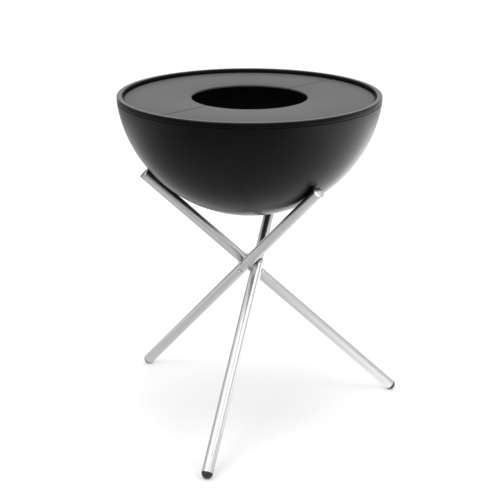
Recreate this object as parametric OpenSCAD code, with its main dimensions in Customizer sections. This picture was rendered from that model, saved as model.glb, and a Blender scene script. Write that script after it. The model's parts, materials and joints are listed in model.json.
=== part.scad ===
/* [Bowl] */
// Outer diameter of the ball that the bowl is spun to
bowl_d = 700; // [560:5:900]
// Thickness of the bowl's sheet steel
bowl_wall = 3; // [2:0.5:5]
// How far the rim's top lies below the centre of the ball
rim_drop = 29.5; // [15:0.5:60]

/* [Rim bead] */
// Width of the raised bead round the rim, whose outside is flush with the bowl's lip
bead_w = 14.5; // [14:0.5:24]
// Height of the bead above the ledge it stands on
bead_h = 15; // [13:0.5:20]
// Radius of the bead's two top corners
bead_round = 3; // [3:0.5:6]
// Radius of the bead's two lower corners
bead_foot_round = 4; // [3:0.5:4.5]
// Thickness of the bead's rolled sheet
bead_wall = 2.5; // [1.5:0.5:2.5]
// Width of the open seam under the bead
bead_seam = 3; // [2:0.5:4]

/* [Cooking plates] */
// Thickness of the two plates
plate_t = 5; // [3:0.5:8]
// Diameter of the round fire opening in the middle
fire_hole_d = 305; // [200:5:420]
// Gap between the plates' outer edge and the bead
plate_gap = 5.5; // [4:0.5:14]
// Width of the seam between the two plates
seam_w = 2; // [1:0.5:5]
// Direction of the seam, seen from above
seam_azimuth = 45; // [0:5:175]
// Bevel on the plates' upper edges
plate_bevel = 1; // [0.5:0.25:2]

/* [Plate ledge] */
// Thickness of the ring inside the rim that the plates lie on
ledge_t = 3; // [2:0.5:6]
// How far the plates overlap the ring
ledge_overlap = 16; // [10:1:30]

/* [Fire plate] */
// Diameter of the loose plate under the fire
fire_plate_d = 280; // [160:5:285]
// Thickness of the fire plate
fire_plate_t = 4; // [3:0.5:8]
// Number of air holes in the fire plate
air_holes = 12; // [6:1:16]
// Diameter of an air hole
air_hole_d = 14; // [8:1:18]
// Diameter of the circle that the air holes lie on
air_circle_d = 190; // [120:5:240]
// Diameter of the lifting hole in its middle
lift_hole_d = 30; // [15:1:50]

/* [Tripod tubes] */
// Outer diameter of a leg tube
tube_d = 30; // [26:1:40]
// Wall of a leg tube
tube_wall = 2; // [1.5:0.25:3]
// Lean of each tube from upright, in degrees
tube_tilt = 46; // [40:1:50]
// Height of the narrow waist where the tubes cross
waist_z = 428; // [380:2:480]
// Length of a tube above the waist
tube_above = 387; // [370:1:460]
// Direction of the first foot, seen from above
foot_azimuth = 15; // [0:5:115]

/* [Tube joints] */
// Gap between two tubes where they cross, filled by a saddle
saddle_gap = 4; // [2:0.5:8]
// Diameter of a saddle
saddle_d = 20; // [16:1:24]
// Diameter of the clamp screws' shank
screw_d = 8; // [6:0.5:8]
// Outer diameter of the sleeve nuts
sleeve_d = 10; // [9.5:0.5:12]
// Diameter of the button heads
head_d = 14; // [13:0.5:16]
// Height of the button heads
head_h = 4.4; // [3.5:0.1:6]
// Width across the flats of the hexagon sockets
socket_w = 5; // [4:0.5:6]
// Thickness of a washer at its middle
washer_t = 2; // [1.5:0.25:3]
// Width of the flat left beside the hollow of a saddle or washer
hollow_land = 1; // [0.5:0.25:1.5]

/* [Caps and feet] */
// Thickness of a top cap's rim
cap_rim = 3; // [2:0.5:5]
// Rise of a top cap's domed face
cap_dome = 2; // [1:0.5:4]
// Length of the stem that holds a cap or a foot in its tube
stem_l = 14; // [12:1:24]
// Depth of the small flat that each round foot stands on
foot_flat = 0.4; // [0.2:0.1:1]

/* [Fits] */
// Gap between the bowl and the tubes that it rests on
rest_gap = 0.3; // [0.2:0.05:0.6]
// Radial clearance of a screw or sleeve in its hole
hole_gap = 0.2; // [0.1:0.05:0.4]
// Radial clearance of a stem's ribs in its tube
rib_gap = 0.1; // [0.05:0.05:0.2]

/* [Hidden] */
$fn = 96;

ball_r = bowl_d / 2;
ball_inner_r = ball_r - bowl_wall;
tube_r = tube_d / 2;
tube_inner_r = tube_r - tube_wall;
head_r = head_d / 2;
cut = 1; // how far a cutting shape runs past the face it cuts

// Radius of the circle that a ball of radius r has at a height dz from its centre
function circle_at(r, dz) = sqrt(r * r - dz * dz);

// The three tubes are lines on one twisted round waist. Neighbours cross closest at two points
// that lie pair_gap apart, and the line between those points dips pair_dip below level.
pair_gap = tube_d + saddle_gap;
lean_s = sin(tube_tilt);
lean_c = cos(tube_tilt);
lean_mix = sqrt(4 * lean_c * lean_c + lean_s * lean_s);
waist_r = pair_gap * lean_mix / (2 * sqrt(3) * lean_c);
cross_up = sqrt(3) * waist_r * lean_s / (lean_mix * lean_mix);
pair_dip = atan(lean_s / (2 * lean_c));
pair_turn = asin(lean_s * sin(60));
pair_r = waist_r / 2 + cross_up * lean_s * sin(60);

// Each foot is half a ball on the tube's end, so its centre stands one radius above the floor
foot_z = tube_r - foot_flat;
tube_below = (waist_z - foot_z) / lean_c;
foot_reach = norm([waist_r, tube_below * lean_s]);
waist_azimuth = foot_azimuth + 90 - atan(waist_r / (tube_below * lean_s));

// The ball sinks between the tubes until it touches all three
ball_z = waist_z + circle_at(ball_r + tube_r + rest_gap, waist_r) / lean_s;
rim_z = ball_z - rim_drop;
ledge_z = rim_z - bead_h;
shell_top = ledge_z - ball_z;
lip_r = circle_at(ball_r, shell_top);
ledge_outer_r = circle_at(ball_inner_r, shell_top - ledge_t);
bead_inner_r = lip_r - bead_w;
plate_r = bead_inner_r - plate_gap;
ledge_inner_r = plate_r - ledge_overlap;
fire_plate_z = ball_z - circle_at(ball_inner_r - rest_gap, fire_plate_d / 2);

// The origin is the middle of the footprint's box, so the bowl's axis stands a little to one side
foot_dirs = [for (k = [0:2]) foot_azimuth + 120 * k];
foot_xs = [for (a = foot_dirs) foot_reach * cos(a)];
foot_ys = [for (a = foot_dirs) foot_reach * sin(a)];
function middle(centres) = (max(max(centres) + tube_r, lip_r) + min(min(centres) - tube_r, -lip_r)) / 2;
axis_x = -middle(foot_xs);
axis_y = -middle(foot_ys);

module on_axis() {
    translate([axis_x, axis_y, 0]) children();
}

// Frame of tube k: its waist point is the origin and +Z runs up the tube
module on_tube(k) {
    on_axis()
        rotate([0, 0, waist_azimuth + 120 * k])
            translate([waist_r, 0, waist_z])
                rotate([-tube_tilt, 0, 0])
                    children();
}

// Frame of the crossing of tubes k and k + 1: +Z runs from tube k to tube k + 1
module on_crossing(k) {
    on_axis()
        rotate([0, 0, waist_azimuth + 60 + 120 * k])
            translate([pair_r, 0, waist_z])
                rotate([-90 - pair_dip, 0, 0])
                    children();
}

// Solid of one of the two crossing tubes, side -1 for tube k and 1 for tube k + 1
module crossing_tube(side) {
    translate([0, 0, side * pair_gap / 2])
        rotate([90, 0, -side * pair_turn])
            cylinder(r = tube_r, h = 4 * tube_d, center = true);
}

// Outline of the bead with its four round corners, grown inwards by a wall
module bead_outline(inset) {
    w = bead_w - 2 * inset;
    h = bead_h - 2 * inset;
    top = bead_round - inset;
    foot = bead_foot_round - inset;
    translate([bead_inner_r + inset, inset]) {
        translate([0, foot]) square([w, h - top - foot]);
        translate([top, h / 2]) square([w - 2 * top, h / 2]);
        translate([foot, 0]) square([w - 2 * foot, h / 2]);
        for (x = [top, w - top]) translate([x, h - top]) circle(r = top);
        for (x = [foot, w - foot]) translate([x, foot]) circle(r = foot);
    }
}

module bowl_shell() {
    color([0.11, 0.11, 0.12])
        on_axis()
            translate([0, 0, ball_z])
                rotate_extrude()
                    intersection() {
                        difference() {
                            circle(r = ball_r);
                            circle(r = ball_inner_r);
                        }
                        translate([0, -ball_r - cut]) square([ball_r + cut, ball_r + cut + shell_top]);
                    }
}

module rim_bead() {
    color([0.13, 0.13, 0.14])
        on_axis()
            translate([0, 0, ledge_z])
                rotate_extrude()
                    difference() {
                        bead_outline(0);
                        bead_outline(bead_wall);
                        translate([lip_r - (bead_w + bead_seam) / 2, -cut])
                            square([bead_seam, bead_wall + 2 * cut]);
                    }
}

module plate_ledge() {
    color([0.36, 0.36, 0.37])
        on_axis()
            translate([0, 0, ledge_z - ledge_t])
                difference() {
                    cylinder(r = ledge_outer_r, h = ledge_t);
                    translate([0, 0, -cut]) cylinder(r = ledge_inner_r, h = ledge_t + 2 * cut);
                }
}

// Half a ring on one side of the seam
module cooking_plate(turn) {
    hole_r = fire_hole_d / 2;
    color([0.42, 0.42, 0.43])
        on_axis()
            translate([0, 0, ledge_z])
                rotate([0, 0, seam_azimuth + turn])
                    difference() {
                        rotate_extrude()
                            polygon([
                                [hole_r, 0],
                                [plate_r, 0],
                                [plate_r, plate_t - plate_bevel],
                                [plate_r - plate_bevel, plate_t],
                                [hole_r + plate_bevel, plate_t],
                                [hole_r, plate_t - plate_bevel]
                            ]);
                        translate([-plate_r - cut, -plate_r - cut, -cut])
                            cube([2 * (plate_r + cut), plate_r + cut + seam_w / 2, plate_t + 2 * cut]);
                    }
}

module cooking_plate_rear() { cooking_plate(0); }
module cooking_plate_front() { cooking_plate(180); }

module fire_plate() {
    color([0.2, 0.19, 0.19])
        on_axis()
            translate([0, 0, fire_plate_z])
                difference() {
                    cylinder(d = fire_plate_d, h = fire_plate_t);
                    translate([0, 0, -cut]) cylinder(d = lift_hole_d, h = fire_plate_t + 2 * cut);
                    for (i = [0:air_holes - 1])
                        rotate([0, 0, 360 * i / air_holes])
                            translate([air_circle_d / 2, 0, -cut])
                                cylinder(d = air_hole_d, h = fire_plate_t + 2 * cut);
                }
}

// A leg tube, drilled for the sleeve at its own crossing and the screw at the one before it
module leg(k) {
    reach = pair_gap / 2 + tube_r + cut;
    color([0.78, 0.78, 0.77])
        difference() {
            on_tube(k)
                translate([0, 0, -tube_below])
                    difference() {
                        cylinder(r = tube_r, h = tube_below + tube_above);
                        translate([0, 0, -cut])
                            cylinder(r = tube_inner_r, h = tube_below + tube_above + 2 * cut);
                    }
            on_crossing(k)
                translate([0, 0, -reach])
                    cylinder(r = sleeve_d / 2 + hole_gap, h = reach);
            on_crossing(k - 1)
                cylinder(r = screw_d / 2 + hole_gap, h = reach);
        }
}

module leg_right() { leg(0); }
module leg_rear() { leg(1); }
module leg_front() { leg(2); }

// Stem with three ribs that holds a cap or a foot in its tube, hanging down from z = 0
module ribbed_stem() {
    rib_h = stem_l / 7;
    translate([0, 0, -stem_l]) cylinder(r = tube_inner_r - rib_gap - rib_h / 4, h = stem_l);
    for (i = [0:2])
        translate([0, 0, -stem_l + rib_h * (2 * i + 1)])
            cylinder(r = tube_inner_r - rib_gap, h = rib_h);
}

module top_cap(k) {
    dome_r = (tube_r * tube_r + cap_dome * cap_dome) / (2 * cap_dome);
    color([0.82, 0.82, 0.82])
        on_tube(k)
            translate([0, 0, tube_above]) {
                ribbed_stem();
                cylinder(r = tube_r, h = cap_rim);
                translate([0, 0, cap_rim])
                    intersection() {
                        translate([0, 0, cap_dome - dome_r]) sphere(r = dome_r);
                        cylinder(r = tube_r, h = 2 * cap_dome);
                    }
            }
}

module top_cap_right() { top_cap(0); }
module top_cap_rear() { top_cap(1); }
module top_cap_front() { top_cap(2); }

module foot(k) {
    color([0.08, 0.08, 0.09])
        difference() {
            on_tube(k)
                translate([0, 0, -tube_below])
                    mirror([0, 0, 1]) {
                        ribbed_stem();
                        intersection() {
                            sphere(r = tube_r);
                            cylinder(r = tube_r + cut, h = tube_d);
                        }
                    }
            translate([-bowl_d, -bowl_d, -tube_d]) cube([2 * bowl_d, 2 * bowl_d, tube_d]);
        }
}

module foot_right() { foot(0); }
module foot_rear() { foot(1); }
module foot_front() { foot(2); }

// Saddle between two tubes, hollowed by both of them
module tube_saddles() {
    half = saddle_gap / 2 + tube_r - circle_at(tube_r, saddle_d / 2 - hollow_land);
    color([0.7, 0.7, 0.7])
        for (k = [0:2])
            on_crossing(k)
                difference() {
                    cylinder(d = saddle_d, h = 2 * half, center = true);
                    for (side = [-1, 1]) crossing_tube(side);
                    cylinder(r = sleeve_d / 2 + hole_gap, h = 2 * half + cut, center = true);
                }
}

// Height above the middle of a crossing at which the heads sit
head_seat = pair_gap / 2 + tube_r + washer_t;

// Domed head with a hexagon socket, standing on z = 0
module button_head() {
    dome_r = (head_r * head_r + head_h * head_h) / (2 * head_h);
    difference() {
        intersection() {
            translate([0, 0, head_h - dome_r]) sphere(r = dome_r);
            cylinder(r = head_r + cut, h = head_h + cut);
        }
        translate([0, 0, head_h / 2])
            cylinder(d = socket_w / cos(30), h = head_h, $fn = 6);
    }
}

module clamp_screws() {
    shank_l = 2 * head_seat - tube_r;
    color([0.8, 0.8, 0.8])
        for (k = [0:2])
            on_crossing(k)
                translate([0, 0, head_seat]) {
                    button_head();
                    translate([0, 0, -shank_l]) cylinder(d = screw_d, h = shank_l);
                }
}

module sleeve_nuts() {
    sleeve_l = tube_d + washer_t + saddle_gap / 2;
    color([0.8, 0.8, 0.8])
        for (k = [0:2])
            on_crossing(k)
                mirror([0, 0, 1])
                    translate([0, 0, head_seat]) {
                        button_head();
                        translate([0, 0, -sleeve_l])
                            difference() {
                                cylinder(d = sleeve_d, h = sleeve_l);
                                translate([0, 0, -cut])
                                    cylinder(r = screw_d / 2 + hole_gap, h = sleeve_l - washer_t + cut);
                            }
                    }
}

// Washers hollowed on the tube's side and flat under the head
module saddle_washers() {
    low = pair_gap / 2 + circle_at(tube_r, head_r - hollow_land);
    color([0.7, 0.7, 0.7])
        for (k = [0:2], side = [-1, 1])
            on_crossing(k)
                difference() {
                    mirror([0, 0, side < 0 ? 1 : 0])
                        translate([0, 0, low])
                            cylinder(r = head_r, h = head_seat - low);
                    crossing_tube(side);
                    cylinder(r = (side < 0 ? sleeve_d : screw_d) / 2 + hole_gap, h = 4 * tube_d, center = true);
                }
}

bowl_shell();
rim_bead();
plate_ledge();
cooking_plate_rear();
cooking_plate_front();
fire_plate();
leg_right();
leg_rear();
leg_front();
top_cap_right();
top_cap_rear();
top_cap_front();
foot_right();
foot_rear();
foot_front();
tube_saddles();
clamp_screws();
sleeve_nuts();
saddle_washers();
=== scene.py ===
"""Looks of a fire bowl that lies loose in a tripod of three crossed steel tubes.

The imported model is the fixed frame. The pieces whose look needs rounder edges or smoother curves
are modelled again here at the same size and place, and every other node keeps its mesh and gets
its finish. All sizes are in metres.
"""

import json
import logging
import math
from collections.abc import Iterable, Sequence
from dataclasses import dataclass, field
from enum import Enum

import bpy
import bmesh
from mathutils import Matrix, Vector


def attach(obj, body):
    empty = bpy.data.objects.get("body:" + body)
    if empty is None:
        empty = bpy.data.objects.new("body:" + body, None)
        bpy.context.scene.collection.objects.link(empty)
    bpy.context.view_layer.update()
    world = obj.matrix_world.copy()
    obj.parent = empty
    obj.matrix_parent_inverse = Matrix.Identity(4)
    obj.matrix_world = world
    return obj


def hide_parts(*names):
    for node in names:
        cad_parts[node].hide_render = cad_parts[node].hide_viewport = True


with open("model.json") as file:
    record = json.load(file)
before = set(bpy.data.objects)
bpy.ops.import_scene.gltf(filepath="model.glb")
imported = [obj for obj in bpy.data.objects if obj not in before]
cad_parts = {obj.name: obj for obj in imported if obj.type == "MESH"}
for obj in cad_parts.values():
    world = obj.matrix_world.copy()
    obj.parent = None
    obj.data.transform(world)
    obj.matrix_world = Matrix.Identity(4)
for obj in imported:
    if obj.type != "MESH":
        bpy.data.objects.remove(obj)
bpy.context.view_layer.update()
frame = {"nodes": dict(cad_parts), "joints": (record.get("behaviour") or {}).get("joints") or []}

LOG = logging.getLogger("fire_bowl")
MM = 0.001

Colour = tuple[float, float, float]
Place = tuple[float, float, float]
Span = tuple[float, float]

WHITE = (1.0, 1.0, 1.0, 1.0)
EAST = (1.0, 0.0)
NORTH = (0.0, 1.0)
POLE = 90.0


class Body(Enum):
    """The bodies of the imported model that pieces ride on."""

    TRIPOD = "tripod"
    BOWL = "bowl"
    PLATE_REAR = "plate_rear"
    PLATE_FRONT = "plate_front"


class Slot(Enum):
    """The names of the record's material slots."""

    BOWL_COAT = "bowl_coat"
    PLATE_STEEL = "plate_steel"
    CAP_STEEL = "cap_steel"
    FOOT_RUBBER = "foot_rubber"


# Shader maths


class Value:
    """A number on a shader socket, so that sums on it can be written as Python expressions."""

    def __init__(self, graph: "Graph", socket: bpy.types.NodeSocket) -> None:
        """Keeps the graph that new nodes go into and the socket that carries the number."""
        self.graph = graph
        self.socket = socket

    def _maths(self, operation: str, first: "Value | float", second: "Value | float") -> "Value":
        """Adds one Math node.

        Args:
            operation: the node's operation.
            first: its first number.
            second: its second number.

        Returns:
            The node's result.
        """
        node = self.graph.node("ShaderNodeMath", {"operation": operation}, {0: first, 1: second})
        return Value(self.graph, node.outputs[0])

    def __add__(self, other: "Value | float") -> "Value":
        """Sum."""
        return self._maths("ADD", self, other)

    def __radd__(self, other: float) -> "Value":
        """Sum with a plain number first."""
        return self._maths("ADD", other, self)

    def __sub__(self, other: "Value | float") -> "Value":
        """Difference."""
        return self._maths("SUBTRACT", self, other)

    def __rsub__(self, other: float) -> "Value":
        """Difference from a plain number."""
        return self._maths("SUBTRACT", other, self)

    def __mul__(self, other: "Value | float") -> "Value":
        """Product."""
        return self._maths("MULTIPLY", self, other)

    def __rmul__(self, other: float) -> "Value":
        """Product with a plain number first."""
        return self._maths("MULTIPLY", other, self)

    def __abs__(self) -> "Value":
        """The number without its sign."""
        return self._maths("ABSOLUTE", self, 0.0)

    def hypot(self, other: "Value") -> "Value":
        """Length of the vector that has the two numbers as its sides."""
        return self._maths("SQRT", self * self + other * other, 0.0)

    def step(self, low: float, high: float) -> "Value":
        """Smooth step from 0 at low to 1 at high; low may be the larger one.

        Args:
            low: where the step starts.
            high: where it ends.

        Returns:
            The mask, from 0 to 1.
        """
        node = self.graph.node(
            "ShaderNodeMapRange",
            {"interpolation_type": "SMOOTHSTEP", "clamp": True},
            {"Value": self, "From Min": low, "From Max": high, "To Min": 0.0, "To Max": 1.0},
        )
        return Value(self.graph, node.outputs["Result"])

    def between(self, low: "Value | float", high: "Value | float") -> "Value":
        """Goes from low to high as this mask goes from 0 to 1."""
        return low * (1.0 - self) + high * self

    def swing(self, amount: float) -> "Value":
        """Goes up and down by half an amount as this noise goes from 0 to 1."""
        return (self - 0.5) * amount


Input = Value | bpy.types.NodeSocket | float | Sequence[float]


@dataclass(frozen=True)
class Grain:
    """A soft noise: its waves to the metre, how many finer layers it has, and how much they count."""

    scale: float
    detail: float = 3.0
    rough: float = 0.5


class Graph:
    """A node tree with one way to add any node."""

    def __init__(self, tree: bpy.types.NodeTree) -> None:
        """Empties the tree."""
        self.tree = tree
        tree.nodes.clear()

    def node(
        self, kind: str, settings: dict | None = None, inputs: dict | None = None
    ) -> bpy.types.Node:
        """Adds a node.

        Args:
            kind: the node's type name.
            settings: its own settings, set first; "stops" holds a ramp's positions and colours.
            inputs: values or links by socket name or number.

        Returns:
            The new node.
        """
        node = self.tree.nodes.new(kind)
        for name, value in (settings or {}).items():
            if name == "stops":
                self._set_stops(node.color_ramp, value)
            else:
                setattr(node, name, value)
        for name, value in (inputs or {}).items():
            self._feed(node.inputs[name], value)
        return node

    def _feed(self, socket: bpy.types.NodeSocket, value: Input) -> None:
        """Links a socket to a value, or sets its number, vector or colour.

        Args:
            socket: the socket of a node.
            value: what it gets.
        """
        if isinstance(value, Value):
            self.tree.links.new(value.socket, socket)
        elif isinstance(value, bpy.types.NodeSocket):
            self.tree.links.new(value, socket)
        elif socket.type == "RGBA" and len(value) == 3:
            socket.default_value = (*value, 1.0)
        else:
            socket.default_value = value

    @staticmethod
    def _set_stops(ramp: bpy.types.ColorRamp, stops: Sequence[tuple[float, Colour]]) -> None:
        """Gives a colour ramp its stops.

        Args:
            ramp: the colour ramp.
            stops: positions with their colours.
        """
        while len(ramp.elements) < len(stops):
            ramp.elements.new(1.0)
        for element, (position, colour) in zip(ramp.elements, stops):
            element.position = position
            element.color = (*colour, 1.0)

    def place(
        self, turn: Matrix | None = None, stretch: Place = (1.0, 1.0, 1.0)
    ) -> bpy.types.NodeSocket:
        """Object coordinates, turned into a piece's own frame and stretched.

        Args:
            turn: the piece's frame, or nothing for the object's.
            stretch: how much each axis of the frame is multiplied.

        Returns:
            A vector socket in metres times the stretch.
        """
        coordinates = self.node("ShaderNodeTexCoord").outputs["Object"]
        if turn is not None:
            turned = self.node(
                "ShaderNodeMapping",
                {"vector_type": "TEXTURE"},
                {
                    "Vector": coordinates,
                    "Location": turn.to_translation(),
                    "Rotation": turn.to_euler(),
                },
            )
            coordinates = turned.outputs[0]
        stretched = self.node(
            "ShaderNodeMapping", {"vector_type": "POINT"}, {"Vector": coordinates, "Scale": stretch}
        )
        return stretched.outputs[0]

    def ray(self, kind: str) -> Value:
        """1 for the rays of one kind and 0 for all others."""
        return Value(self, self.node("ShaderNodeLightPath").outputs[kind])

    def axes(self, vector: bpy.types.NodeSocket) -> tuple[Value, Value, Value]:
        """The three numbers of a vector.

        Args:
            vector: a vector socket.

        Returns:
            Its parts along X, Y and Z.
        """
        split = self.node("ShaderNodeSeparateXYZ", None, {0: vector})
        east, north, up = (Value(self, output) for output in split.outputs)
        return east, north, up

    def noise(self, vector: bpy.types.NodeSocket, grain: Grain) -> Value:
        """Soft noise between 0 and 1, centred on a half.

        Args:
            vector: the place on the surface.
            grain: the size and kind of the noise.

        Returns:
            The noise at that place.
        """
        node = self.node(
            "ShaderNodeTexNoise",
            {"noise_dimensions": "3D"},
            {
                "Vector": vector,
                "Scale": grain.scale,
                "Detail": grain.detail,
                "Roughness": grain.rough,
            },
        )
        return Value(self, node.outputs[0])

    def cells(self, vector: bpy.types.NodeSocket, scale: float) -> Value:
        """Distance to the nearest of scattered points, for a fine pebbled grain.

        Args:
            vector: the place on the surface.
            scale: how many points there are to the metre.

        Returns:
            The distance, in parts of the points' spacing.
        """
        node = self.node(
            "ShaderNodeTexVoronoi", {"feature": "SMOOTH_F1"}, {"Vector": vector, "Scale": scale}
        )
        return Value(self, node.outputs["Distance"])

    def blend(self, share: Input, first: Input, second: Input) -> bpy.types.NodeSocket:
        """Mixes two colours.

        Args:
            share: how much of the second colour shows, from 0 to 1.
            first: the first colour.
            second: the second colour.

        Returns:
            The mixed colour's socket.
        """
        # The Mix node has its colour sockets as inputs 6 and 7 and its colour result as output 2.
        node = self.node(
            "ShaderNodeMix",
            {"data_type": "RGBA", "clamp_factor": True},
            {0: share, 6: first, 7: second},
        )
        return node.outputs[2]

    def bump(self, height: Value, depth: float) -> bpy.types.NodeSocket:
        """Normal of a surface raised by height times depth.

        Args:
            height: the relief, from 0 to 1.
            depth: its full depth in metres.

        Returns:
            The normal's socket.
        """
        node = self.node(
            "ShaderNodeBump", None, {"Height": height, "Distance": depth, "Strength": 1.0}
        )
        return node.outputs[0]


# Finishes


@dataclass(frozen=True)
class Finish:
    """A surface finish that gives one material."""

    name: str
    colour: Colour
    roughness: float
    metallic: float = 0.0
    specular: float = 0.5

    def material(self) -> bpy.types.Material:
        """Builds the material.

        Returns:
            The material.
        """
        material = bpy.data.materials.new(self.name)
        material.use_nodes = True
        material.diffuse_color = (*self.colour, 1.0)
        graph = Graph(material.node_tree)
        plain = {"Metallic": self.metallic, "Specular IOR Level": self.specular}
        shader = graph.node("ShaderNodeBsdfPrincipled", None, plain | self.surface(graph))
        graph.node("ShaderNodeOutputMaterial", None, {"Surface": shader.outputs[0]})
        return material

    def surface(self, graph: Graph) -> dict:
        """What changes over the surface, by shader socket."""
        raise NotImplementedError

    def tone(self, factor: float) -> Colour:
        """The finish's colour, made lighter or darker."""
        red, green, blue = self.colour
        return red * factor, green * factor, blue * factor


@dataclass(frozen=True)
class BakedCoat(Finish):
    """Satin black heat-resistant coat with a faint pebble."""

    cloud: Grain = Grain(9.0, 4.0, 0.6)
    cloud_span: Span = (0.35, 0.65)
    cloud_tone: float = 1.3
    cloud_roughness: float = 0.05
    pebble: Grain = Grain(1100.0, 2.0, 0.5)
    pebble_depth: float = 0.012 * MM

    def surface(self, graph: Graph) -> dict:
        """Slow changes of gloss over a fine pebble.

        Args:
            graph: the material's node tree.

        Returns:
            Values and links by the name of the shader's socket.
        """
        place = graph.place()
        cloud = graph.noise(place, self.cloud)
        pebble = graph.noise(place, self.pebble)
        lighter = self.tone(self.cloud_tone)
        return {
            "Base Color": graph.blend(cloud.step(*self.cloud_span), self.colour, lighter),
            "Roughness": self.roughness + cloud.swing(self.cloud_roughness),
            "Normal": graph.bump(pebble, self.pebble_depth),
        }


@dataclass(frozen=True)
class SootedCoat(BakedCoat):
    """The same coat on the bowl's wall, dulled by soot and ash on the side of the fire."""

    centre: Place = (0.0, 0.0, 0.0)
    ball_radius: float = 350 * MM
    within_wall: Span = (1.0 * MM, 2.5 * MM)
    soot: Colour = (0.008, 0.0075, 0.007)
    ash: Colour = (0.03, 0.028, 0.026)
    smudge: Grain = Grain(38.0, 5.0, 0.65)
    smudge_span: Span = (0.3, 0.75)
    smudge_roughness: float = 0.3
    soot_roughness: float = 0.4

    def surface(self, graph: Graph) -> dict:
        """Coat outside, soot where the surface faces the fire.

        Args:
            graph: the material's node tree.

        Returns:
            Values and links by the name of the shader's socket.
        """
        coat = super().surface(graph)
        place = graph.place(Matrix.Translation(self.centre))
        east, north, up = graph.axes(place)
        inside = (self.ball_radius - east.hypot(north).hypot(up)).step(*self.within_wall)
        smudge = graph.noise(place, self.smudge)
        soot = graph.blend(smudge.step(*self.smudge_span), self.soot, self.ash)
        duller = self.soot_roughness + smudge.swing(self.smudge_roughness)
        return coat | {
            "Base Color": graph.blend(inside, coat["Base Color"], soot),
            "Roughness": coat["Roughness"] + inside * duller,
        }


@dataclass(frozen=True)
class SeasonedPlate(Finish):
    """Even dull dark-gray steel with a fine grain and a faint cloudiness."""

    axis: Place = (0.0, 0.0, 0.0)
    hole_radius: float = 152.5 * MM
    seam_azimuth: float = 45.0
    seam_edges: Span = (2.2 * MM, 1.2 * MM)
    seam_black: Colour = (0.012, 0.011, 0.011)
    cloud: Grain = Grain(11.0, 4.0, 0.6)
    cloud_span: Span = (0.3, 0.7)
    cloud_tone: float = 0.9
    cloud_roughness: float = 0.08
    grain: Grain = Grain(650.0, 3.0, 0.6)
    grain_roughness: float = 0.1
    grain_depth: float = 0.05 * MM
    burnt_width: float = 12 * MM
    burnt_tone: float = 0.45
    burnt_least: float = 0.25
    burnt_more: float = 0.3

    def surface(self, graph: Graph) -> dict:
        """Plate colour, darker right at the fire opening and black in the seam.

        Args:
            graph: the material's node tree.

        Returns:
            Values and links by the name of the shader's socket.
        """
        place = graph.place(Matrix.Translation(self.axis))
        east, north, _ = graph.axes(place)
        cloud = graph.noise(place, self.cloud)
        grain = graph.noise(place, self.grain)
        clouded = graph.blend(cloud.step(*self.cloud_span), self.tone(self.cloud_tone), self.colour)
        at_hole = (east.hypot(north) - self.hole_radius).step(self.burnt_width, 0.0)
        burnt = at_hole * (self.burnt_least + cloud * self.burnt_more)
        edged = graph.blend(burnt, clouded, self.tone(self.burnt_tone))
        seam = math.radians(self.seam_azimuth)
        # the plate is darkened to near black along both edges of the seam between the halves
        in_seam = abs(north * math.cos(seam) - east * math.sin(seam)).step(*self.seam_edges)
        uneven = cloud.swing(self.cloud_roughness) + grain.swing(self.grain_roughness)
        return {
            "Base Color": graph.blend(in_seam, edged, self.seam_black),
            "Roughness": self.roughness + uneven,
            "Normal": graph.bump(grain, self.grain_depth),
        }


@dataclass(frozen=True)
class FireScale(Finish):
    """Bare steel that fire has scaled brown and black."""

    brown: Colour = (0.075, 0.052, 0.038)
    patch: Grain = Grain(24.0, 6.0, 0.65)
    patch_span: Span = (0.42, 0.68)
    patch_roughness: float = 0.2
    pits: Grain = Grain(420.0, 4.0, 0.6)
    pit_share: float = 0.4
    depth: float = 0.25 * MM

    def surface(self, graph: Graph) -> dict:
        """Mottled scale with pits.

        Args:
            graph: the material's node tree.

        Returns:
            Values and links by the name of the shader's socket.
        """
        place = graph.place()
        patch = graph.noise(place, self.patch)
        pits = graph.noise(place, self.pits)
        height = patch * (1.0 - self.pit_share) + pits * self.pit_share
        return {
            "Base Color": graph.blend(patch.step(*self.patch_span), self.colour, self.brown),
            "Roughness": self.roughness + patch.swing(self.patch_roughness),
            "Normal": graph.bump(height, self.depth),
        }


@dataclass(frozen=True)
class GroundTube(Finish):
    """Stainless tube, ground lengthways to a fine satin."""

    turn: Matrix = field(default_factory=Matrix)
    scratch: Grain = Grain(2600.0, 3.0, 0.6)
    scratch_stretch: Place = (1.0, 1.0, 0.012)
    scratch_depth: float = 0.006 * MM
    streak: Grain = Grain(420.0, 3.0, 0.5)
    streak_stretch: Place = (1.0, 1.0, 0.05)
    streak_span: Span = (0.35, 0.65)
    streak_tone: float = 0.93
    streak_roughness: float = 0.1
    cloud: Grain = Grain(14.0, 3.0, 0.5)
    cloud_roughness: float = 0.06

    def surface(self, graph: Graph) -> dict:
        """Long fine scratches along the tube and a slow change of gloss.

        Args:
            graph: the material's node tree.

        Returns:
            Values and links by the name of the shader's socket.
        """
        scratches = graph.noise(graph.place(self.turn, self.scratch_stretch), self.scratch)
        streaks = graph.noise(graph.place(self.turn, self.streak_stretch), self.streak)
        cloud = graph.noise(graph.place(self.turn), self.cloud)
        dull = self.tone(self.streak_tone)
        uneven = streaks.swing(self.streak_roughness) + cloud.swing(self.cloud_roughness)
        return {
            "Base Color": graph.blend(streaks.step(*self.streak_span), dull, self.colour),
            "Roughness": self.roughness + uneven,
            "Normal": graph.bump(scratches, self.scratch_depth),
        }


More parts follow.
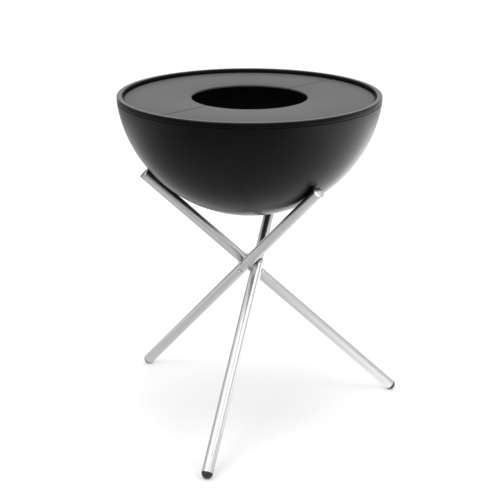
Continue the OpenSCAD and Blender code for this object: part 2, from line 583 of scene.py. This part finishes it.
@dataclass(frozen=True)
class TurnedSteel(Finish):
    """Small turned steel piece with fine marks, from polished to blasted."""

    marks: Grain = Grain(1800.0, 3.0, 0.6)
    marks_span: Span = (0.35, 0.65)
    marks_tone: float = 0.88
    marks_roughness: float = 0.12
    marks_depth: float = 0.004 * MM

    def surface(self, graph: Graph) -> dict:
        """Fine marks and a slightly uneven gloss.

        Args:
            graph: the material's node tree.

        Returns:
            Values and links by the name of the shader's socket.
        """
        marks = graph.noise(graph.place(), self.marks)
        dull = self.tone(self.marks_tone)
        return {
            "Base Color": graph.blend(marks.step(*self.marks_span), dull, self.colour),
            "Roughness": self.roughness + marks.swing(self.marks_roughness),
            "Normal": graph.bump(marks, self.marks_depth),
        }


@dataclass(frozen=True)
class SmoothRubber(Finish):
    """Black rubber from a smooth mould."""

    scuffed: Colour = (0.029, 0.029, 0.0305)
    scuffs: Grain = Grain(160.0, 4.0, 0.6)
    scuffs_span: Span = (0.5, 0.8)
    scuffs_roughness: float = 0.12
    grain_scale: float = 1400.0
    grain_depth: float = 0.01 * MM

    def surface(self, graph: Graph) -> dict:
        """Fine mould grain, with light scuffs in the gloss.

        Args:
            graph: the material's node tree.

        Returns:
            Values and links by the name of the shader's socket.
        """
        place = graph.place()
        grain = graph.cells(place, self.grain_scale)
        scuffs = graph.noise(place, self.scuffs)
        return {
            "Base Color": graph.blend(scuffs.step(*self.scuffs_span), self.colour, self.scuffed),
            "Roughness": self.roughness + scuffs.swing(self.scuffs_roughness),
            "Normal": graph.bump(grain, self.grain_depth),
        }


# Modelling by hand


@dataclass(frozen=True)
class Corner:
    """A corner of a turned outline: radius, height, and how much it is rounded."""

    radius: float
    height: float
    rounding: float = 0.0


def arc(radius: float, start: float, end: float, steps: int, height: float = 0.0) -> list[Corner]:
    """Points of an arc whose centre lies on the turning axis.

    Args:
        radius: the arc's radius.
        start: its first angle in degrees, from the radius direction towards the axis.
        end: its last angle in degrees.
        steps: how many straight pieces it has.
        height: where its centre lies on the axis.

    Returns:
        The corners, the first and last ones included.
    """
    angles = (math.radians(start + (end - start) * i / steps) for i in range(steps + 1))
    return [Corner(max(radius * math.cos(a), 0.0), height + radius * math.sin(a)) for a in angles]


class Bench:
    """The steps of modelling one piece with Blender's operators."""

    MERGE_DISTANCE = 0.002 * MM
    SHARP_ANGLE = math.radians(40.0)
    SOFT_SEGMENTS = 3

    def __init__(self, name: str, rounding_segments: int = 4) -> None:
        """Keeps the piece's name and how finely the corners of its outline are rounded."""
        self.name = name
        self.rounding_segments = rounding_segments

    @property
    def piece(self) -> bpy.types.Object:
        """The piece that is being made."""
        return bpy.context.view_layer.objects.active

    @staticmethod
    def leave() -> None:
        """Ends editing, if a piece is open."""
        if bpy.context.mode != "OBJECT":
            bpy.ops.object.mode_set(mode="OBJECT")

    @classmethod
    def clear_selection(cls) -> None:
        """Deselects everything, because an operator acts on all that is selected."""
        cls.leave()
        bpy.ops.object.select_all(action="DESELECT")

    def adopt(self) -> None:
        """Names the primitive that was just added and opens it for editing."""
        self.piece.name = self.name
        self.piece.data.name = self.name
        bpy.ops.object.mode_set(mode="EDIT")
        bpy.ops.mesh.select_all(action="SELECT")

    def select_vertices(self, places: Iterable[Vector]) -> None:
        """Selects the vertices nearest to some places, and no others.

        Args:
            places: where the vertices are.
        """
        bpy.ops.mesh.select_mode(type="VERT")
        bpy.ops.mesh.select_all(action="DESELECT")
        mesh = bmesh.from_edit_mesh(self.piece.data)
        for place in places:
            min(mesh.verts, key=lambda vertex: (vertex.co - place).length).select = True
        mesh.select_flush_mode()
        bmesh.update_edit_mesh(self.piece.data)

    def trace(self, outline: Sequence[Corner], closed: bool) -> None:
        """Draws an outline in the XZ plane, one extruded vertex after another, then rounds its corners.

        Args:
            outline: its corners in order.
            closed: whether the last corner joins the first.
        """
        self.clear_selection()
        bpy.ops.mesh.primitive_plane_add(size=MM)
        self.adopt()
        bpy.ops.mesh.merge(type="CENTER")
        start = outline[0]
        bpy.ops.transform.translate(value=(start.radius, 0.0, start.height))
        for last, corner in zip(outline, outline[1:]):
            step = (corner.radius - last.radius, 0.0, corner.height - last.height)
            bpy.ops.mesh.extrude_vertices_move(TRANSFORM_OT_translate={"value": step})
        if closed:
            self.select_vertices(Vector((c.radius, 0.0, c.height)) for c in (outline[-1], start))
            bpy.ops.mesh.edge_face_add()
        for rounding in sorted({c.rounding for c in outline if c.rounding > 0.0}):
            rounded = [c for c in outline if c.rounding == rounding]
            self.select_vertices(Vector((c.radius, 0.0, c.height)) for c in rounded)
            bpy.ops.mesh.bevel(
                offset_type="OFFSET",
                offset=rounding,
                segments=self.rounding_segments,
                affect="VERTICES",
            )

    def turn(self, steps: int) -> None:
        """Spins the outline once round the Z axis and closes the seam and the poles.

        Args:
            steps: how many straight pieces a full circle has.
        """
        bpy.ops.mesh.select_all(action="SELECT")
        bpy.ops.mesh.spin(
            steps=steps,
            angle=math.tau,
            center=(0.0, 0.0, 0.0),
            axis=(0.0, 0.0, 1.0),
        )
        self.close()

    def close(self) -> None:
        """Merges doubles and points all faces outwards."""
        bpy.ops.mesh.select_all(action="SELECT")
        bpy.ops.mesh.remove_doubles(threshold=self.MERGE_DISTANCE)
        bpy.ops.mesh.dissolve_degenerate(threshold=self.MERGE_DISTANCE)
        bpy.ops.mesh.select_all(action="SELECT")
        bpy.ops.mesh.normals_make_consistent(inside=False)

    def cut(self, through: Vector, away: Vector) -> None:
        """Cuts the piece flat and drops what lies on one side.

        Args:
            through: a point of the cutting plane.
            away: its normal, towards what is dropped.
        """
        if bpy.context.mode != "EDIT_MESH":
            bpy.ops.object.mode_set(mode="EDIT")
        bpy.ops.mesh.select_all(action="SELECT")
        bpy.ops.mesh.bisect(
            plane_co=through,
            plane_no=away,
            use_fill=True,
            clear_outer=True,
            threshold=self.MERGE_DISTANCE,
        )
        self.close()

    def place(self, turn: Matrix) -> None:
        """Moves the piece into place with its place in its mesh.

        Args:
            turn: where the piece's own frame goes.
        """
        bpy.ops.object.mode_set(mode="OBJECT")
        self.piece.matrix_world = turn
        bpy.ops.object.transform_apply(location=True, rotation=True, scale=True)

    def soften(self, width: float) -> None:
        """Rounds all sharp edges a little.

        Args:
            width: how far the rounding reaches from an edge.
        """
        self.leave()
        bevel = self.piece.modifiers.new("soft edges", "BEVEL")
        bevel.width = width
        bevel.segments = self.SOFT_SEGMENTS
        bevel.limit_method = "ANGLE"
        bevel.angle_limit = self.SHARP_ANGLE
        bpy.ops.object.modifier_apply(modifier=bevel.name)

    def thicken(self, wall: float) -> None:
        """Gives an open skin a wall on its inner side.

        Args:
            wall: the wall's thickness.
        """
        self.leave()
        solidify = self.piece.modifiers.new("wall", "SOLIDIFY")
        solidify.thickness = wall
        solidify.offset = -1.0
        solidify.use_even_offset = True
        bpy.ops.object.modifier_apply(modifier=solidify.name)

    def finish(self, material: bpy.types.Material) -> bpy.types.Object:
        """Shades the piece smooth between its sharp edges and gives it its material.

        Args:
            material: the finish.

        Returns:
            The finished piece.
        """
        self.leave()
        bpy.ops.object.shade_smooth_by_angle(angle=self.SHARP_ANGLE)
        piece = self.piece
        piece.data.materials.clear()
        piece.data.materials.append(material)
        self.clear_selection()
        return piece


def dress(node: str, material: bpy.types.Material) -> None:
    """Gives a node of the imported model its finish.

    Args:
        node: the node's name.
        material: its finish.
    """
    slots = frame["nodes"][node].data.materials
    slots.clear()
    slots.append(material)
    LOG.info("dressed %s", node)


def hand_over(piece: bpy.types.Object, body: Body, node: str) -> None:
    """Lets a new piece ride on its body in place of a node.

    Args:
        piece: the finished piece.
        body: the body that carries it.
        node: the node that it stands for.
    """
    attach(piece, body.value)
    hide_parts(node)
    LOG.info("made %s, %d faces", piece.name, len(piece.data.polygons))


# Sub-assemblies


@dataclass
class Bowl:
    """The spun bowl with its rim bead; the ledge inside is dressed with the plates."""

    ball_centre: Vector
    ball_radius: float = 350 * MM
    wall: float = 3 * MM
    lip_drop: float = 44.5 * MM
    bead_width: float = 14.5 * MM
    bead_height: float = 15 * MM
    bead_rounding: float = 3 * MM
    bead_foot_rounding: float = 4 * MM
    bead_wall: float = 2.5 * MM
    bead_seam: float = 3 * MM
    bead_rounding_segments: int = 8
    ball_segments: int = 224
    ball_rings: int = 128
    coat: Colour = (0.0025, 0.0025, 0.0027)
    coat_roughness: float = 0.25
    coat_gloss: float = 0.15

    @property
    def lip_height(self) -> float:
        """Height of the bowl's lip, which is the bead's underside."""
        return self.ball_centre.z - self.lip_drop

    @property
    def lip_radius(self) -> float:
        """Outer radius of the lip, with which the bead's outside is flush."""
        return math.sqrt(self.ball_radius**2 - self.lip_drop**2)

    @property
    def recess_radius(self) -> float:
        """Inner radius of the bead, inside which the plates lie."""
        return self.lip_radius - self.bead_width

    def build(self) -> None:
        """Makes the bowl's wall and its bead."""
        coat = BakedCoat(
            "baked coat", self.coat, self.coat_roughness, specular=self.coat_gloss
        ).material()
        sooted = SootedCoat(
            "sooted coat",
            self.coat,
            self.coat_roughness,
            specular=self.coat_gloss,
            centre=tuple(self.ball_centre),
            ball_radius=self.ball_radius,
        ).material()
        hand_over(self._shell(sooted), Body.BOWL, "bowl_shell")
        hand_over(self._bead(coat), Body.BOWL, "rim_bead")

    def _shell(self, coat: bpy.types.Material) -> bpy.types.Object:
        """A ball cut level at the lip and given its wall.

        Args:
            coat: its finish.

        Returns:
            The finished wall.
        """
        bench = Bench("bowl_wall")
        bench.clear_selection()
        bpy.ops.mesh.primitive_uv_sphere_add(
            segments=self.ball_segments,
            ring_count=self.ball_rings,
            radius=self.ball_radius,
            location=self.ball_centre,
        )
        bpy.ops.object.transform_apply(location=True, rotation=True, scale=True)
        bench.adopt()
        bpy.ops.mesh.bisect(
            plane_co=(self.ball_centre.x, self.ball_centre.y, self.lip_height),
            plane_no=(0.0, 0.0, 1.0),
            use_fill=False,
            clear_outer=True,
        )
        bench.thicken(self.wall)
        return bench.finish(coat)

    def _bead(self, coat: bpy.types.Material) -> bpy.types.Object:
        """A rolled bead, open along a seam underneath.

        Args:
            coat: its finish.

        Returns:
            The finished bead.
        """
        bench = Bench("rim_roll", self.bead_rounding_segments)
        outer, inner = self.lip_radius, self.recess_radius
        seam = [(inner + outer + side * self.bead_seam) / 2 for side in (1.0, -1.0)]
        outline = [
            Corner(seam[0], 0.0),
            Corner(outer, 0.0, self.bead_foot_rounding),
            Corner(outer, self.bead_height, self.bead_rounding),
            Corner(inner, self.bead_height, self.bead_rounding),
            Corner(inner, 0.0, self.bead_foot_rounding),
            Corner(seam[1], 0.0),
        ]
        bench.trace(outline, closed=False)
        bench.turn(self.ball_segments)
        bench.place(Matrix.Translation((self.ball_centre.x, self.ball_centre.y, self.lip_height)))
        bench.thicken(self.bead_wall)
        return bench.finish(coat)


@dataclass
class CookingPlates:
    """The ring-shaped cooking plate in its two halves."""

    axis: Vector
    ledge_height: float
    recess_radius: float
    edge_gap: float = 5.5 * MM
    hole_radius: float = 152.5 * MM
    thickness: float = 5 * MM
    seam_width: float = 2 * MM
    seam_azimuth: float = 45.0
    edge_rounding: float = 0.9 * MM
    steps: int = 224
    steel: Colour = (0.076, 0.076, 0.077)
    steel_roughness: float = 0.55

    def build(self) -> None:
        """Makes both halves and dresses the ledge below them."""
        steel = SeasonedPlate(
            "seasoned plate",
            self.steel,
            self.steel_roughness,
            axis=tuple(self.axis),
            hole_radius=self.hole_radius,
            seam_azimuth=self.seam_azimuth,
        ).material()
        along = math.radians(self.seam_azimuth)
        across = Vector((-math.sin(along), math.cos(along), 0.0))
        halves = (
            (across, Body.PLATE_REAR, "cooking_plate_rear"),
            (-across, Body.PLATE_FRONT, "cooking_plate_front"),
        )
        for towards, body, node in halves:
            hand_over(self._half(node, towards, steel), body, node)
        dress("plate_ledge", steel)

    def _half(self, node: str, towards: Vector, steel: bpy.types.Material) -> bpy.types.Object:
        """Half a ring on one side of the seam.

        Args:
            node: the CAD node that it stands for.
            towards: from the seam towards the half.
            steel: its finish.

        Returns:
            The finished half.
        """
        bench = Bench(node.replace("cooking_plate", "plate_half"))
        outer = self.recess_radius - self.edge_gap
        outline = [
            Corner(self.hole_radius, 0.0),
            Corner(outer, 0.0),
            Corner(outer, self.thickness),
            Corner(self.hole_radius, self.thickness),
        ]
        bench.trace(outline, closed=True)
        bench.turn(self.steps)
        bench.place(Matrix.Translation((self.axis.x, self.axis.y, self.ledge_height)))
        bench.cut(self.axis + towards * self.seam_width / 2, -towards)
        bench.soften(self.edge_rounding)
        return bench.finish(steel)


@dataclass
class FirePlate:
    """The loose plate under the fire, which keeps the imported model's shape."""

    steel: Colour = (0.02, 0.018, 0.017)
    steel_roughness: float = 0.7

    def build(self) -> None:
        """Dresses the plate."""
        dress("fire_plate", FireScale("fire scale", self.steel, self.steel_roughness).material())


@dataclass
class Tripod:
    """Three straight tubes that cross in a twisted bundle, with their caps, feet and joints."""

    axis: Vector
    tube_radius: float = 15 * MM
    tube_wall: float = 2 * MM
    saddle_gap: float = 4 * MM
    tilt: float = math.radians(46.0)
    waist_height: float = 428 * MM
    tube_above: float = 387 * MM
    foot_azimuth: float = math.radians(15.0)
    foot_flat: float = 0.4 * MM
    foot_step: float = 0.6 * MM
    foot_start: float = 4.0
    foot_steps: int = 20
    cap_rim: float = 3 * MM
    cap_dome: float = 2 * MM
    cap_chamfer: float = 0.5 * MM
    cap_rounding: float = 0.9 * MM
    cap_steps: int = 12
    stem_length: float = 14 * MM
    stem_ribs: int = 3
    rib_gap: float = 0.1 * MM
    spin_steps: int = 72
    sides: tuple[str, ...] = ("right", "rear", "front")
    tube_steel: Colour = (0.73, 0.73, 0.72)
    tube_roughness: float = 0.3
    cap_roughness: float = 0.2
    screw_steel: Colour = (0.8, 0.8, 0.8)
    screw_roughness: float = 0.36
    blasted_steel: Colour = (0.42, 0.42, 0.42)
    blasted_roughness: float = 0.5
    rubber: Colour = (0.018, 0.018, 0.019)
    rubber_roughness: float = 0.34

    @property
    def waist_radius(self) -> float:
        """Distance of a tube's axis from the bowl's axis at the waist.

        Returns:
            The distance at which each pair of tubes just takes its saddle.
        """
        pair_gap = 2 * self.tube_radius + self.saddle_gap
        mix = math.sqrt(4 * math.cos(self.tilt) ** 2 + math.sin(self.tilt) ** 2)
        return pair_gap * mix / (2 * math.sqrt(3) * math.cos(self.tilt))

    @property
    def tube_below(self) -> float:
        """Length of a tube below the waist."""
        return (self.waist_height - self.tube_radius + self.foot_flat) / math.cos(self.tilt)

    def on_tube(self, k: int, along: float = 0.0) -> Matrix:
        """Frame of a tube, with +Z up the tube.

        Args:
            k: the tube's number.
            along: distance up the tube from its waist point.

        Returns:
            The frame's matrix.
        """
        lean = math.atan(self.waist_radius / (self.tube_below * math.sin(self.tilt)))
        azimuth = self.foot_azimuth + math.pi / 2 - lean + k * math.tau / 3
        return (
            Matrix.Translation(self.axis)
            @ Matrix.Rotation(azimuth, 4, "Z")
            @ Matrix.Translation((self.waist_radius, 0.0, self.waist_height))
            @ Matrix.Rotation(-self.tilt, 4, "X")
            @ Matrix.Translation((0.0, 0.0, along))
        )

    def build(self) -> None:
        """Makes caps and feet and dresses the tubes and their joints."""
        rubber = SmoothRubber("smooth rubber", self.rubber, self.rubber_roughness).material()
        blasted = self._turned_steel("blasted saddle", self.blasted_steel, self.blasted_roughness)
        polished = self._turned_steel("polished cap", self.tube_steel, self.cap_roughness)
        screw = self._turned_steel("turned screw", self.screw_steel, self.screw_roughness)
        for k, side in enumerate(self.sides):
            ground = GroundTube(
                f"ground tube {side}",
                self.tube_steel,
                self.tube_roughness,
                metallic=1.0,
                turn=self.on_tube(k),
            )
            dress(f"leg_{side}", ground.material())
            cap = self._cap(k, side, polished)
            hand_over(cap, Body.TRIPOD, f"top_cap_{side}")
            foot = self._foot(k, side, rubber)
            hand_over(foot, Body.TRIPOD, f"foot_{side}")
        dress("tube_saddles", blasted)
        dress("saddle_washers", blasted)
        dress("clamp_screws", screw)
        dress("sleeve_nuts", screw)

    @staticmethod
    def _turned_steel(name: str, colour: Colour, roughness: float) -> bpy.types.Material:
        """The material of a small steel piece."""
        return TurnedSteel(name, colour, roughness, metallic=1.0).material()

    def _stem(self) -> list[Corner]:
        """Outline of a ribbed stem, from its inner end up to height 0.

        Returns:
            The corners from the axis outwards and up.
        """
        bore = self.tube_radius - self.tube_wall
        crest = bore - self.rib_gap
        rib = self.stem_length / (2 * self.stem_ribs + 1)
        root = crest - rib / 4
        corners = [Corner(0.0, -self.stem_length), Corner(root, -self.stem_length)]
        for i in range(self.stem_ribs):
            low = -self.stem_length + rib * (2 * i + 1)
            corners += [Corner(root, low), Corner(crest, low)]
            corners += [Corner(crest, low + rib), Corner(root, low + rib)]
        return corners + [Corner(root, 0.0)]

    def _cap_outline(self) -> list[Corner]:
        """Outline of a top cap: stem, rim and a shallow dome.

        Returns:
            The corners from the stem's inner end to the top of the dome.
        """
        radius = self.tube_radius
        dome_radius = (radius**2 + self.cap_dome**2) / (2 * self.cap_dome)
        edge = math.degrees(math.acos(radius / dome_radius))
        centre = self.cap_rim + self.cap_dome - dome_radius
        dome = arc(dome_radius, edge, POLE, self.cap_steps, centre)
        rim = [
            Corner(radius - self.cap_chamfer, 0.0),
            Corner(radius, self.cap_chamfer),
            Corner(radius, self.cap_rim, self.cap_rounding),
        ]
        return self._stem() + rim + dome[1:]

    def _foot_outline(self) -> list[Corner]:
        """Outline of a foot: half a ball below a stem, with a fine step at the tube.

        Returns:
            The corners from the stem's inner end to the bottom of the ball.
        """
        radius = self.tube_radius
        half_ball = arc(radius, self.foot_start, POLE, self.foot_steps)
        ball = [Corner(c.radius, -c.height) for c in half_ball]
        stem = [Corner(c.radius, -c.height) for c in self._stem()]
        return stem + [Corner(radius - self.foot_step, 0.0)] + ball

    def _turned(self, name: str, outline: Sequence[Corner], frame_on_tube: Matrix) -> Bench:
        """Turns a small piece and sets it on its tube.

        Args:
            name: the piece's name.
            outline: its outline from axis to axis.
            frame_on_tube: the frame that it is set in.

        Returns:
            The bench with the piece.
        """
        bench = Bench(name)
        bench.trace(outline, closed=False)
        bench.turn(self.spin_steps)
        bench.place(frame_on_tube)
        return bench

    def _cap(self, k: int, side: str, steel: bpy.types.Material) -> bpy.types.Object:
        """A cap on a tube's upper end.

        Args:
            k: the tube's number.
            side: where its foot stands.
            steel: its finish.

        Returns:
            The finished cap.
        """
        upper_end = self.on_tube(k, self.tube_above)
        return self._turned(f"cap_{side}", self._cap_outline(), upper_end).finish(steel)

    def _foot(self, k: int, side: str, rubber: bpy.types.Material) -> bpy.types.Object:
        """A round foot, cut level where it stands on the floor.

        Args:
            k: the tube's number.
            side: where it stands.
            rubber: its finish.

        Returns:
            The finished foot.
        """
        lower_end = self.on_tube(k, -self.tube_below)
        bench = self._turned(f"foot_ball_{side}", self._foot_outline(), lower_end)
        bench.cut(Vector((0.0, 0.0, 0.0)), Vector((0.0, 0.0, -1.0)))
        return bench.finish(rubber)


# Studio


@dataclass(frozen=True)
class Viewpoint:
    """The camera where the photograph was taken."""

    axis: Vector
    distance: float = 3.2468
    height: float = 1.5868
    turn: float = math.radians(-0.7)
    yaw: float = math.radians(-0.033)
    pitch: float = math.radians(18.98)
    roll: float = math.radians(0.09)
    focal_pixels: float = 1256.7
    picture_pixels: float = 500.0
    sensor: float = 36.0
    far_limit: float = 100.0

    def build(self) -> None:
        """Adds the camera and makes it the scene's."""
        data = bpy.data.cameras.new("camera")
        data.sensor_width = self.sensor
        data.lens = self.sensor * self.focal_pixels / self.picture_pixels
        data.clip_end = self.far_limit
        camera = bpy.data.objects.new("camera", data)
        camera.location = (
            self.axis.x + self.distance * math.sin(self.turn),
            self.axis.y - self.distance * math.cos(self.turn),
            self.height,
        )
        look = (
            Matrix.Rotation(self.turn + self.yaw, 4, "Z")
            @ Matrix.Rotation(math.pi / 2 - self.pitch, 4, "X")
            @ Matrix.Rotation(self.roll, 4, "Z")
        )
        camera.rotation_euler = look.to_euler()
        bpy.context.scene.collection.objects.link(camera)
        bpy.context.scene.camera = camera


@dataclass(frozen=True)
class Fade:
    """A soft change in the light, from nothing at its start to its amount at its end."""

    start: float
    end: float
    amount: float = 1.0
    towards: tuple[float, float] | None = None

    def at(self, east: Value, north: Value) -> Value:
        """How much of it there is at a place or in a direction.

        Args:
            east: the part of the place or direction along +X.
            north: its part along +Y, away from the camera.

        Returns:
            The amount, by the way towards one side, or by the distance from the middle if it has none.
        """
        if self.towards is None:
            way = east.hypot(north)
        else:
            way = east * self.towards[0] + north * self.towards[1]
        return way.step(self.start, self.end) * self.amount


@dataclass(frozen=True)
class Room:
    """The room round the object: white to the camera, with plain walls and a ceiling as light."""

    ceiling: float = 1.02
    front_wall: float = 0.86
    back_wall: float = 0.6
    backdrop: float = 1.25
    dark_corner: float = 0.36
    to_ceiling: Span = (0.35, 0.7)
    to_back: Fade = Fade(-0.6, 1.0, towards=NORTH)
    to_corner: Fade = Fade(0.78, 0.98, towards=(-0.53, 0.85))
    to_backdrop: Fade = Fade(0.86, 0.94, towards=NORTH)

    def build(self) -> None:
        """Makes the world."""
        world = bpy.data.worlds.new("studio")
        world.use_nodes = True
        bpy.context.scene.world = world
        graph = Graph(world.node_tree)
        direction = graph.node("ShaderNodeTexCoord").outputs["Generated"]
        east, north, up = graph.axes(direction)
        walls = self.to_back.at(east, north).between(self.front_wall, self.back_wall)
        walls = walls * self.to_corner.at(east, north).between(1.0, self.dark_corner)
        walls = self.to_backdrop.at(east, north).between(walls, self.backdrop)
        room = up.step(*self.to_ceiling).between(walls, self.ceiling)
        strength = graph.ray("Is Camera Ray").between(room, 1.0)
        shade = graph.node("ShaderNodeBackground", None, {"Color": WHITE, "Strength": strength})
        graph.node("ShaderNodeOutputWorld", None, {"Surface": shade.outputs[0]})


@dataclass(frozen=True)
class Floor:
    """The white floor, with a soft shadow to the camera that is partly real and partly painted into its
    glow, and fields of light in the metal's gloss.
    """

    size: float = 40.0
    white: Colour = (0.8, 0.8, 0.8)
    seen_white: Colour = (0.9, 0.9, 0.9)
    seen_glow: float = 0.2
    # painted shadow of the object on the seen floor: its middle, flatness and depth, and a weaker band
    # in front
    painted_shadow_east: float = -0.07
    painted_shadow_north: float = 0.1
    painted_shadow_flatness: float = 1.4
    shade: Fade = Fade(0.55, 0.05, 0.18)
    painted_front_shadow: Fade = Fade(1.1, 0.5, 0.08)
    painted_front_shadow_side: Fade = Fade(0.2, -0.3, towards=NORTH)
    level: float = 0.55
    near: Fade = Fade(1.2, 0.4, 0.08)
    front: Fade = Fade(1.6, 0.8, 0.14)
    front_side: Fade = Fade(0.1, -0.6, towards=NORTH)
    left: Fade = Fade(0.2, 2.2, 0.55, (-0.8, 0.6))
    right: Fade = Fade(-0.4, 1.6, 1.8, (0.87, 0.5))
    aside: Fade = Fade(1.5, 3.0, 0.3)
    aside_side: Fade = Fade(0.2, 2.0, towards=EAST)
    dim_left: Fade = Fade(-0.2, -1.6, 0.13, (0.75, 0.66))
    far: Fade = Fade(1.9, 3.6)
    far_dimming: float = 0.85
    far_light: Fade = Fade(-2.0, 0.5, 0.3, NORTH)
    behind: Fade = Fade(1.1, 2.3, 0.22, NORTH)

    def build(self) -> None:
        """Adds the floor."""
        Bench.clear_selection()
        bpy.ops.mesh.primitive_plane_add(size=self.size)
        floor = bpy.context.view_layer.objects.active
        floor.name = "floor"
        floor.data.materials.append(self._material())

    def _material(self) -> bpy.types.Material:
        """Shows each kind of ray its own side of the floor.

        Returns:
            The floor's material.
        """
        material = bpy.data.materials.new("white floor")
        material.use_nodes = True
        graph = Graph(material.node_tree)
        east, north, _ = graph.axes(graph.place())
        lit = graph.node("ShaderNodeBsdfDiffuse", None, {"Color": self.white})
        card = graph.node(
            "ShaderNodeEmission", None, {"Color": WHITE, "Strength": self._mirrored(east, north)}
        )
        painted = graph.node("ShaderNodeBsdfDiffuse", None, {"Color": self.seen_white})
        glow = graph.node(
            "ShaderNodeEmission", None, {"Color": WHITE, "Strength": self._glow(east, north)}
        )
        seen = graph.node(
            "ShaderNodeAddShader", None, {0: painted.outputs[0], 1: glow.outputs[0]}
        )
        unseen = graph.node(
            "ShaderNodeMixShader",
            None,
            {0: graph.ray("Is Glossy Ray"), 1: lit.outputs[0], 2: card.outputs[0]},
        )
        surface = graph.node(
            "ShaderNodeMixShader",
            None,
            {0: graph.ray("Is Camera Ray"), 1: unseen.outputs[0], 2: seen.outputs[0]},
        )
        graph.node("ShaderNodeOutputMaterial", None, {"Surface": surface.outputs[0]})
        return material

    def _mirrored(self, east: Value, north: Value) -> Value:
        """How bright a place of the floor is in the gloss of the object.

        Args:
            east: the place's X.
            north: its Y.

        Returns:
            The strength of its light.
        """
        near = self.near.at(east, north)
        front = self.front.at(east, north) * self.front_side.at(east, north)
        aside = self.aside.at(east, north) * self.aside_side.at(east, north)
        sides = self.left.at(east, north) + self.right.at(east, north) + aside
        level = self.level + near + front + sides - self.dim_left.at(east, north)
        far = self.far.at(east, north) * (self.far_dimming - self.far_light.at(east, north))
        return level * (1.0 - far) * (1.0 - self.behind.at(east, north))

    def _glow(self, east: Value, north: Value) -> Value:
        """What keeps the seen floor white away from the object, with a painted shadow that lowers it
        under and in front of the object.

        Args:
            east: the place's X.
            north: its Y.

        Returns:
            The strength of its light.
        """
        # painted shadow: the glow is lowered under the bowl and in front of it
        under = self.shade.at(
            east - self.painted_shadow_east, (north - self.painted_shadow_north) * self.painted_shadow_flatness
        )
        painted_shadow_in_front = self.painted_front_shadow.at(east, north) * self.painted_front_shadow_side.at(east, north)
        return self.seen_glow - under - painted_shadow_in_front


@dataclass(frozen=True)
class Softbox:
    """A flat lamp that is seen only by its light."""

    name: str
    at: Place
    size: tuple[float, float]
    watts: float
    towards: Place = (0.0, 0.0, 0.4)

    def hang(self) -> None:
        """Adds the lamp to the scene."""
        data = bpy.data.lights.new(self.name, "AREA")
        data.shape = "RECTANGLE"
        data.size, data.size_y = self.size
        data.energy = self.watts
        lamp = bpy.data.objects.new(self.name, data)
        lamp.location = self.at
        aim = Vector(self.towards) - Vector(self.at)
        lamp.rotation_euler = aim.to_track_quat("-Z", "Y").to_euler()
        bpy.context.scene.collection.objects.link(lamp)


@dataclass(frozen=True)
class Studio:
    """A white studio, seen at the photograph's angle."""

    axis: Vector
    lamps: tuple[Softbox, ...] = (
        Softbox("left", at=(-1.4, -1.6, 2.5), size=(1.5, 1.5), watts=20.0),
        Softbox("right", at=(1.75, -1.1, 2.5), size=(1.2, 1.2), watts=10.0),
    )

    def build(self) -> None:
        """Adds camera, room, floor and lamps."""
        Viewpoint(self.axis).build()
        Room().build()
        Floor().build()
        for lamp in self.lamps:
            lamp.hang()


def main() -> None:
    """Builds the object and its studio."""
    logging.basicConfig(level=logging.INFO, format="%(name)s: %(message)s")
    seat = frame["joints"][0]["pos_m"]
    ball_centre = Vector(seat)
    axis = Vector((seat[0], seat[1], 0.0))
    Studio(axis).build()
    bowl = Bowl(ball_centre)
    bowl.build()
    CookingPlates(axis, bowl.lip_height, bowl.recess_radius).build()
    FirePlate().build()
    Tripod(axis).build()
    bpy.context.scene.view_settings.view_transform = "Standard"


if __name__ == "__main__":
    main()
